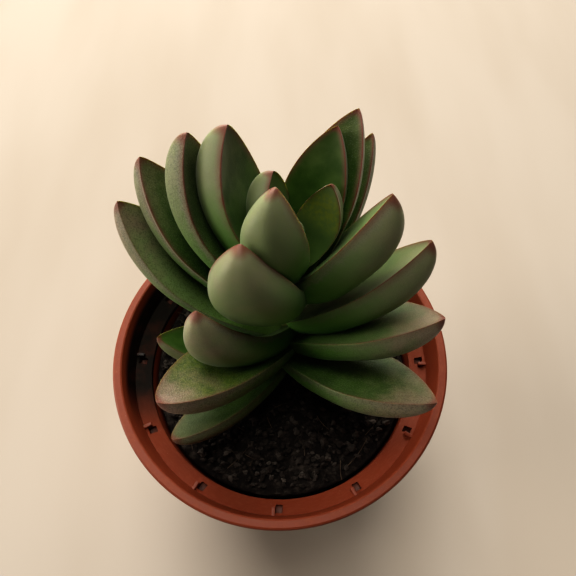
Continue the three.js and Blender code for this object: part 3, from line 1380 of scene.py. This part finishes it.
@dataclass
class NurseryPot:
    """Thin-walled tapered pot with a rolled rim, a collar, a sloping ledge and stacking lugs."""

    height: float = 76.0
    rim_radius: float = 42.5
    rim_width: float = 2.4
    rim_lip: float = 1.8
    rim_round: float = 0.5
    rim_bevel: float = 0.35
    collar_depth: float = 8.0
    collar_inner: float = 38.8
    ledge_depth: float = 10.2
    ledge_inner: float = 35.0
    wall: float = 1.3
    floor: float = 1.8
    base_radius: float = 28.5
    steps: int = 144
    lugs: int = 12
    lug_turn: float = -3.0
    lug_size: tuple[float, float, float] = (2.4, 0.9, 1.5)
    lug_sunk: float = 0.5
    pit_size: tuple[float, float, float] = (1.9, 1.7, 2.0)
    pit_inset: float = 1.6
    pit_drop: float = 1.2
    block_bevel: float = 0.15
    crisp_above: float = 28.0
    drains: int = 6
    drain_radius: float = 3.2
    drain_circle: float = 19.0

    def profile(self) -> list[tuple[float, float]]:
        """Gives the pot's outline from the middle of its underside to the middle of its floor.

        Returns:
            [radius, height] pairs.
        """
        top = self.height
        inner = self.rim_radius - self.rim_width
        bevel = self.rim_round * self.rim_bevel
        return [
            (0.0, 0.0),
            (self.base_radius - self.rim_round, 0.0),
            (self.base_radius - bevel, bevel),
            (self.base_radius, self.rim_round),
            (self.ledge_inner + self.wall, top - self.ledge_depth - self.wall),
            (self.collar_inner + self.wall, top - self.collar_depth - self.wall),
            (inner + self.wall, top - self.rim_lip - self.rim_round),
            (self.rim_radius - bevel, top - self.rim_lip),
            (self.rim_radius, top - self.rim_lip + bevel),
            (self.rim_radius, top - self.rim_round),
            (self.rim_radius - bevel, top - bevel),
            (self.rim_radius - self.rim_round, top),
            (inner + self.rim_round, top),
            (inner + bevel, top - bevel),
            (inner, top - self.rim_round),
            (self.collar_inner, top - self.collar_depth),
            (self.ledge_inner, top - self.ledge_depth),
            (self.base_radius - self.wall, self.floor),
            (0.0, self.floor),
        ]

    def block(self, size: tuple[float, float, float], radius: float, shift: float,
              height: float) -> list[bpy.types.Object]:
        """Models one small bevelled block at each lug's place.

        Args:
            size: Its length along the radius, its width and its height.
            radius: Its middle's distance from the pot's axis.
            shift: How far it lies beside the lug's own line.
            height: Its middle's height.

        Returns:
            The blocks, in place.
        """
        deselect_all()
        bpy.ops.mesh.primitive_cube_add(size=1, location=(0, 0, 0))
        first = take_new("block")
        first.scale = Vector(size) * MM
        apply_place(first)
        with edit_mode(first):
            bpy.ops.mesh.select_all(action="SELECT")
            bpy.ops.mesh.bevel(offset=self.block_bevel * MM, segments=2, affect="EDGES")
        blocks = []
        for i in range(self.lugs):
            block = take_copy(first, f"block_{i}")
            place = Matrix.Translation(Vector((radius, shift, height)) * MM)
            block.matrix_world = turned(self.lug_turn + i * 360 / self.lugs, Axis.Z) @ place
            blocks.append(block)
        remove_piece(first)
        return blocks

    def build(self) -> bpy.types.Object:
        """Models the pot.

        Returns:
            The pot, in place.
        """
        pot = spin_profile("pot_body", self.profile(), self.steps)
        level = self.height - self.collar_depth
        length, lug_width, height = self.lug_size
        reach = self.collar_inner + self.lug_sunk - length / 2
        lugs = self.block(self.lug_size, reach, 0.0, level + height / 2 - 2 * self.lug_sunk)
        fuse(pot, join_pieces(lugs, "lugs"))
        shift = (lug_width + self.pit_size[1]) / 2
        pits = self.block(self.pit_size, self.collar_inner - self.pit_inset, shift, level - self.pit_drop)
        cut_away(pot, join_pieces(pits, "pits"))
        cut_away(pot, self.drain_holes())
        smooth(pot, self.crisp_above)
        return pot

    def drain_holes(self) -> bpy.types.Object:
        """Models the cutters for the drain holes.

        Returns:
            The cutters, joined.
        """
        holes = []
        for i in range(self.drains):
            angle = (i + 0.5) * math.tau / self.drains
            place = Vector((math.cos(angle), math.sin(angle), 0)) * self.drain_circle * MM
            deselect_all()
            bpy.ops.mesh.primitive_cylinder_add(vertices=32, radius=self.drain_radius * MM,
                                                depth=4 * self.floor * MM, location=place)
            holes.append(take_new(f"drain_hole_{i}"))
        return join_pieces(holes, "drain_holes")

    def dress(self, plastic: bpy.types.Material) -> None:
        """Models and dresses the pot.

        Args:
            plastic: The pot's material.
        """
        settle(self.build(), Slot.POT, plastic, "pot")


# Soil


@dataclass
class PeatFill:
    """The peat in the pot: a lumpy bed, loose crumbs and fibres."""

    surface: float = PEAT_LEVEL
    foot: float = 2.1
    foot_radius: float = 26.8
    edge_radius: float = 33.9
    edge_drop: float = 0.6
    edge_step: float = 0.4
    rings: int = 64
    steps: int = 260
    lump: float = 1.5
    lumps: tuple[Span, ...] = ((5.0, 1.0), (1.6, 0.8), (0.6, 0.35))
    top_slack: float = 0.1
    stem_clear: float = 4.2
    wall_clear: float = 1.6
    crumbs: int = 1900
    crumb_kinds: int = 6
    kind_spacing: int = 3
    crumb_lump: float = 0.35
    crumb_relief: float = 0.85
    crumb_size: Span = (0.7, 2.2)
    crumb_lift: Span = (-0.1, 0.6)
    crumb_width: Span = (0.45, 0.9)
    crumb_height: float = 0.7
    crumb_tint: Span = (0.08, 0.68)
    small_bias: float = 1.5
    dull_bias: int = 3
    fibres: int = 70
    fibre_length: Span = (3.0, 9.0)
    fibre_radius: float = 0.09
    fibre_cuts: tuple[float, ...] = (-0.3, -0.15, 0.0, 0.15, 0.3)
    fibre_bend: float = 55
    fibre_slope: float = 14
    fibre_lift: Span = (0.3, 1.0)
    rng: random.Random = field(default_factory=lambda: random.Random(SEED))

    def build_bed(self) -> bpy.types.Object:
        """Models the bed, displaced by coarse and fine noise on top.

        Returns:
            The bed, in place.
        """
        profile = [(0.0, self.foot), (self.foot_radius, self.foot),
                   (self.edge_radius, self.surface - self.edge_drop)]
        reach = self.edge_radius - self.edge_step
        profile += [(reach * (1 - i / self.rings), self.surface) for i in range(self.rings + 1)]
        bed = spin_profile("peat_bed", profile, self.steps)
        top = bed.vertex_groups.new(name="top")
        height = (self.surface - self.top_slack) * MM
        top.add([v.index for v in bed.data.vertices if v.co.z > height], 1.0, "REPLACE")
        for size, share in self.lumps:
            texture = noise_texture(f"peat_lumps_{size}", size)
            apply_modifier(bed, "DISPLACE", texture=texture, texture_coords="GLOBAL", direction="Z",
                           strength=self.lump * share * MM, mid_level=0.5, vertex_group="top")
        smooth(bed)
        return bed

    def spot(self) -> Vector:
        """Draws a place on the surface, clear of the stem and the pot's wall.

        Returns:
            The place, in metres.
        """
        while True:
            angle = self.any_turn()
            radius = (self.edge_radius - self.wall_clear) * math.sqrt(self.rng.random())
            x, y = radius * math.cos(angle), radius * math.sin(angle)
            if math.dist((x, y), STEM_PLACE) > self.stem_clear:
                return Vector((x, y, self.surface)) * MM

    def any_turn(self) -> float:
        """Draws an angle all round."""
        return self.rng.uniform(0, math.tau)

    def crumb_shapes(self) -> list[bpy.types.Object]:
        """Models a few crumbs, each a rough lump one unit across.

        Returns:
            The crumbs to copy.
        """
        shapes = []
        for i in range(self.crumb_kinds):
            deselect_all()
            place = (self.kind_spacing * i, 0, 0)
            bpy.ops.mesh.primitive_ico_sphere_add(subdivisions=2, radius=0.5, location=place)
            crumb = take_new(f"crumb_kind_{i}")
            texture = bpy.data.textures.new(f"crumb_{i}", "CLOUDS")
            texture.noise_scale = self.crumb_lump
            apply_modifier(crumb, "DISPLACE", texture=texture, texture_coords="GLOBAL",
                           strength=self.crumb_relief)
            crumb.location = (0, 0, 0)
            shapes.append(crumb)
        return shapes

    def build_crumb(self, shape: bpy.types.Object, name: str) -> bpy.types.Object:
        """Models one crumb on the bed, with its own size, turn and tint.

        Args:
            shape: The lump to copy.
            name: The crumb's name.

        Returns:
            The crumb, placed but not applied.
        """
        low, high = self.crumb_size
        dull, bright = self.crumb_tint
        crumb = take_copy(shape, name)
        size = low + (high - low) * self.rng.random() ** self.small_bias
        lift = Vector((0, 0, self.rng.uniform(*self.crumb_lift) * size * MM))
        angle = self.any_turn()
        axis = Vector((self.rng.gauss(0, 1), self.rng.gauss(0, 1), self.rng.gauss(0, 1)))
        width = self.rng.uniform(*self.crumb_width)
        scale = Vector((1, width, self.crumb_height)) * size * MM
        place = Matrix.Translation(self.spot() + lift)
        crumb.matrix_world = place @ Matrix.Rotation(angle, 4, axis) @ Matrix.Diagonal((*scale, 1))
        share = dull + (bright - dull) * self.rng.random() ** self.dull_bias
        store_number(crumb, TINT, share)
        return crumb

    def build_crumbs(self) -> bpy.types.Object:
        """Scatters the crumbs over the bed.

        Returns:
            All crumbs as one piece, in place.
        """
        shapes = self.crumb_shapes()
        crumbs = [self.build_crumb(self.rng.choice(shapes), f"crumb_{i}") for i in range(self.crumbs)]
        for shape in shapes:
            remove_piece(shape)
        return join_pieces(crumbs, "peat_crumbs")

    def build_fibre(self, i: int) -> bpy.types.Object:
        """Models one bent fibre lying on the bed.

        Args:
            i: The fibre's number.

        Returns:
            The fibre, in place.
        """
        length = self.rng.uniform(*self.fibre_length)
        deselect_all()
        bpy.ops.mesh.primitive_cylinder_add(vertices=4, radius=self.fibre_radius * MM, depth=length * MM)
        fibre = take_new(f"fibre_{i}")
        with edit_mode(fibre):
            for share in self.fibre_cuts:
                bpy.ops.mesh.select_all(action="SELECT")
                bpy.ops.mesh.bisect(plane_co=(0, 0, share * length * MM), plane_no=(0, 0, 1))
        bend = math.radians(self.rng.uniform(-self.fibre_bend, self.fibre_bend))
        apply_modifier(fibre, "SIMPLE_DEFORM", deform_method="BEND", deform_axis=Axis.Y.value, angle=bend)
        flat = turned(90 + self.rng.uniform(-self.fibre_slope, self.fibre_slope), Axis.X)
        turn = Matrix.Rotation(self.any_turn(), 4, Axis.Z.value)
        lift = Vector((0, 0, self.rng.uniform(*self.fibre_lift) * MM))
        fibre.matrix_world = Matrix.Translation(self.spot() + lift) @ turn @ flat
        return fibre

    def dress(self, peat: bpy.types.Material, fibre: bpy.types.Material) -> None:
        """Models and dresses the soil.

        Args:
            peat: The bed's and the crumbs' material.
            fibre: The fibres' material.
        """
        settle(self.build_bed(), Slot.SOIL, peat, "soil")
        settle(self.build_crumbs(), Slot.SOIL, peat)
        fibres = join_pieces([self.build_fibre(i) for i in range(self.fibres)], "peat_fibres")
        settle(fibres, Slot.SOIL, fibre)


# Floor, light and camera


@dataclass(frozen=True)
class SoftLamp:
    """One large soft light: its name, place, width, power and colour."""

    name: str
    place: tuple[float, float, float]
    size: float
    power: float
    colour: Colour

    def hang(self, aim: tuple[float, float, float]) -> None:
        """Hangs the light.

        Args:
            aim: The place that it shines at, in millimetres.
        """
        light = bpy.data.lights.new(self.name, "AREA")
        light.size = self.size * MM
        light.energy = self.power
        light.color = self.colour
        lamp = bpy.data.objects.new(self.name, light)
        place = Vector(self.place) * MM
        lamp.location = place
        lamp.rotation_euler = (Vector(aim) * MM - place).to_track_quat("-Z", "Y").to_euler()
        link_to_scene(lamp)


@dataclass
class Studio:
    """The pale floor, the soft light and the photograph's camera."""

    floor_size: float = 3000.0
    eye: tuple[float, float, float] = (2.38, -50.94, 200.15)
    look_down: float = 61.12
    tilt: float = -1.0
    sensor: float = 36.0
    focal_pixels: float = 520.0
    frame_pixels: float = 576.0
    clip_start: float = 5.0
    sky: Colour = (1.0, 0.95, 0.88)
    sky_strength: float = 0.03
    lamps: tuple[SoftLamp, ...] = (
        SoftLamp("window_light", (-305.0, 1138.0, 609.0), 1100.0, 21.5, (1.0, 0.945, 0.85)),
        SoftLamp("ceiling_light", (-122.0, 337.0, 1310.0), 750.0, 8.5, (1.0, 0.95, 0.86)),
        SoftLamp("left_low_light", (-1272.0, 0.0, 330.0), 750.0, 7.0, (1.0, 0.93, 0.82)),
        SoftLamp("left_high_light", (-1102.0, 0.0, 749.0), 750.0, 4.0, (1.0, 0.93, 0.82)),
        SoftLamp("right_light", (532.0, 922.0, 806.0), 750.0, 3.7, (1.0, 0.93, 0.82)),
    )
    aim: tuple[float, float, float] = (0.0, 0.0, 60.0)
    tone: str = "Standard"
    contrast: str = "High Contrast"

    def lay_floor(self, top: bpy.types.Material) -> None:
        """Lays the floor under the pot.

        Args:
            top: The floor's material.
        """
        deselect_all()
        bpy.ops.mesh.primitive_plane_add(size=self.floor_size * MM)
        floor = take_new("floor")
        floor.data.materials.append(top)

    def hang_lights(self) -> None:
        """Sets the tone and the weak light from all round, and hangs the lamps."""
        world = bpy.data.worlds.new("pale_room")
        world.use_nodes = True
        background = world.node_tree.nodes["Background"]
        background.inputs["Color"].default_value = (*self.sky, 1.0)
        background.inputs["Strength"].default_value = self.sky_strength
        bpy.context.scene.world = world
        bpy.context.scene.view_settings.view_transform = self.tone
        bpy.context.scene.view_settings.look = self.contrast
        for lamp in self.lamps:
            lamp.hang(self.aim)

    def set_camera(self) -> None:
        """Sets the camera at the photograph's place, angle and field of view."""
        data = bpy.data.cameras.new("photo_camera")
        data.sensor_width = self.sensor
        data.lens = self.sensor * self.focal_pixels / self.frame_pixels
        data.clip_start = self.clip_start * MM
        camera = bpy.data.objects.new("photo_camera", data)
        aim = turned(90 - self.look_down, Axis.X) @ turned(self.tilt, Axis.Z)
        camera.matrix_world = Matrix.Translation(Vector(self.eye) * MM) @ aim
        link_to_scene(camera)
        bpy.context.scene.camera = camera


def main() -> None:
    """Builds the object and its setting."""
    logging.basicConfig(level=logging.INFO, format="%(message)s")
    pot = NurseryPot()
    pot.dress(PotPlastic().build(pot))
    PeatFill().dress(Peat().build(), PeatFibre().build())
    Plant().dress(LeafSkin().build(), StemSkin().build())
    studio = Studio()
    studio.lay_floor(TableTop().build())
    studio.hang_lights()
    studio.set_camera()


if __name__ == "__main__":
    main()
